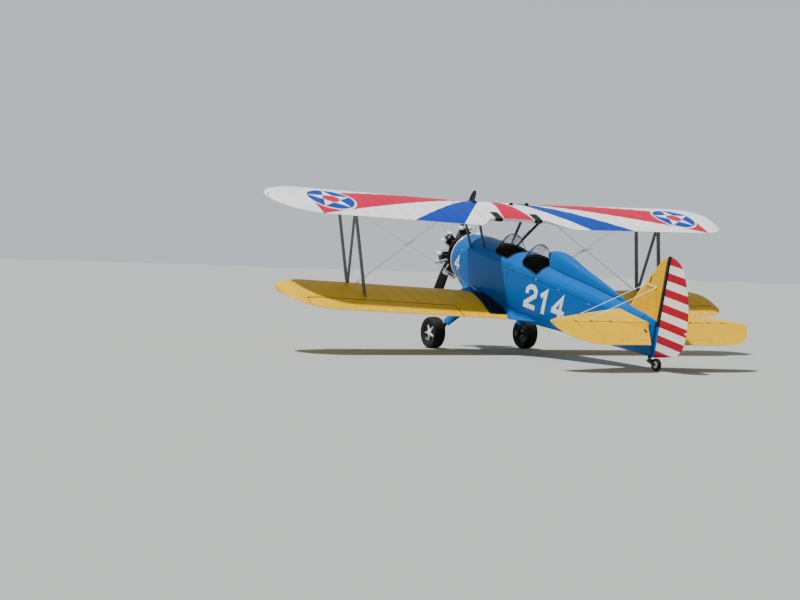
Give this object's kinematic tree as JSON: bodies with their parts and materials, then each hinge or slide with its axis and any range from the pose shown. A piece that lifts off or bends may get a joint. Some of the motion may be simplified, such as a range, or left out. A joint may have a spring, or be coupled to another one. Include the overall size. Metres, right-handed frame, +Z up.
{
  "type": "biplane",
  "caption": "Open-cockpit biplane with a radial engine, braced fabric wings, fixed landing gear and a tail wheel; its propeller, wheels and control surfaces turn.",
  "frame": {"origin": "on the ground plane, under the middle of the aircraft's outline", "axes": "+X to port along the span, +Y aft, +Z up, the aircraft resting nose up on its three wheels"},
  "size_m": [9.8046, 7.5392, 3.0834],
  "materials": {
    "blue_skin": "gloss enamel over metal panels and doped fabric",
    "white_skin": "gloss dope with red, white and blue rays",
    "yellow_skin": "gloss yellow dope",
    "striped_skin": "gloss dope in red and white bands",
    "strut_paint": "satin grey enamel",
    "cabane_paint": "satin dark blue enamel",
    "engine_metal": "baked black enamel with bright rocker boxes",
    "blade_paint": "matt black with a bright hub",
    "exhaust_steel": "heat-tinted steel",
    "wire_steel": "bright streamlined steel wire",
    "fitting_steel": "satin steel",
    "wheel_paint": "cast aluminium, silver paint",
    "tyre_rubber": "worn black rubber",
    "seat_leather": "brown leather",
    "panel_black": "matt black",
    "screen_glass": "clear acrylic"
  },
  "bodies": {
    "airframe": {"fuselage_nose": "blue_skin", "cockpit_tub": "blue_skin", "cockpit_deck": "blue_skin", "fuselage_tail": "blue_skin", "headrest_fairing": "blue_skin", "gear_leg_port": "blue_skin", "gear_leg_starboard": "blue_skin", "upper_wing_centre": "white_skin", "upper_wing_port": "white_skin", "upper_wing_starboard": "white_skin", "lower_wing_port": "yellow_skin", "lower_wing_starboard": "yellow_skin", "stabiliser_port": "yellow_skin", "stabiliser_starboard": "yellow_skin", "fin": "yellow_skin", "interplane_struts_port": "strut_paint", "interplane_struts_starboard": "strut_paint", "tail_strut_port": "strut_paint", "tail_strut_starboard": "strut_paint", "cabane_struts_port": "cabane_paint", "cabane_struts_starboard": "cabane_paint", "engine": "engine_metal", "exhaust": "exhaust_steel", "flying_wires_port": "wire_steel", "flying_wires_starboard": "wire_steel", "landing_wires_port": "wire_steel", "landing_wires_starboard": "wire_steel", "tail_wires_port": "wire_steel", "tail_wires_starboard": "wire_steel", "front_seat": "seat_leather", "rear_seat": "seat_leather", "headrest_pad": "seat_leather", "front_panel": "panel_black", "rear_panel": "panel_black", "front_windscreen": "screen_glass", "rear_windscreen": "screen_glass"},
    "propeller": {"propeller": "blade_paint"},
    "wheel_port": {"tyre_port": "tyre_rubber", "wheel_port": "wheel_paint"},
    "wheel_starboard": {"tyre_starboard": "tyre_rubber", "wheel_starboard": "wheel_paint"},
    "tail_fork": {"tail_wheel_fork": "fitting_steel"},
    "tail_wheel": {"tail_tyre": "tyre_rubber", "tail_wheel": "wheel_paint"},
    "rudder": {"rudder": "striped_skin"},
    "elevators": {"elevator_port": "yellow_skin", "elevator_starboard": "yellow_skin", "elevator_tube": "fitting_steel"},
    "aileron_port": {"aileron_port": "yellow_skin"},
    "aileron_starboard": {"aileron_starboard": "yellow_skin"}
  },
  "joints": [
    {"name": "propeller_spin", "type": "hinge", "parent": "airframe", "child": "propeller", "pos_m": [0, -3.51725, 1.89849], "axis": [0, 0.9789, -0.2043], "continuous": true},
    {"name": "wheel_port_spin", "type": "hinge", "parent": "airframe", "child": "wheel_port", "pos_m": [1.045, -2.40747, 0.29999], "axis": [1, 0, 0], "continuous": true},
    {"name": "wheel_starboard_spin", "type": "hinge", "parent": "airframe", "child": "wheel_starboard", "pos_m": [-1.045, -2.40747, 0.29999], "axis": [1, 0, 0], "continuous": true},
    {"name": "tail_wheel_steer", "type": "hinge", "parent": "airframe", "child": "tail_fork", "pos_m": [0, 2.84407, 0.20079], "axis": [0, 0, 1], "range_deg": [-30, 30]},
    {"name": "tail_wheel_spin", "type": "hinge", "parent": "tail_fork", "child": "tail_wheel", "pos_m": [0, 3.01918, 0.10499], "axis": [1, 0, 0], "continuous": true},
    {"name": "rudder_turn", "type": "hinge", "parent": "airframe", "child": "rudder", "pos_m": [0, 2.99439, 0.53922], "axis": [0, 0.2043, 0.9789], "range_deg": [-30, 30]},
    {"name": "elevator_turn", "type": "hinge", "parent": "airframe", "child": "elevators", "pos_m": [0, 2.87753, 0.7526], "axis": [1, 0, 0], "range_deg": [0, 50]},
    {"name": "aileron_port_turn", "type": "hinge", "parent": "airframe", "child": "aileron_port", "pos_m": [1.49124, -0.91278, 0.81485], "axis": [0.9993, 0.0075, 0.0359], "range_deg": [-22, 22]},
    {"name": "aileron_starboard_turn", "type": "hinge", "parent": "airframe", "child": "aileron_starboard", "pos_m": [-1.49124, -0.91278, 0.81485], "axis": [0.9993, -0.0075, -0.0359], "range_deg": [-22, 22]}
  ],
  "couplings": [
    {"joint": "tail_wheel_steer", "follows": "rudder_turn", "ratio": 1},
    {"joint": "aileron_starboard_turn", "follows": "aileron_port_turn", "ratio": -1}
  ]
}
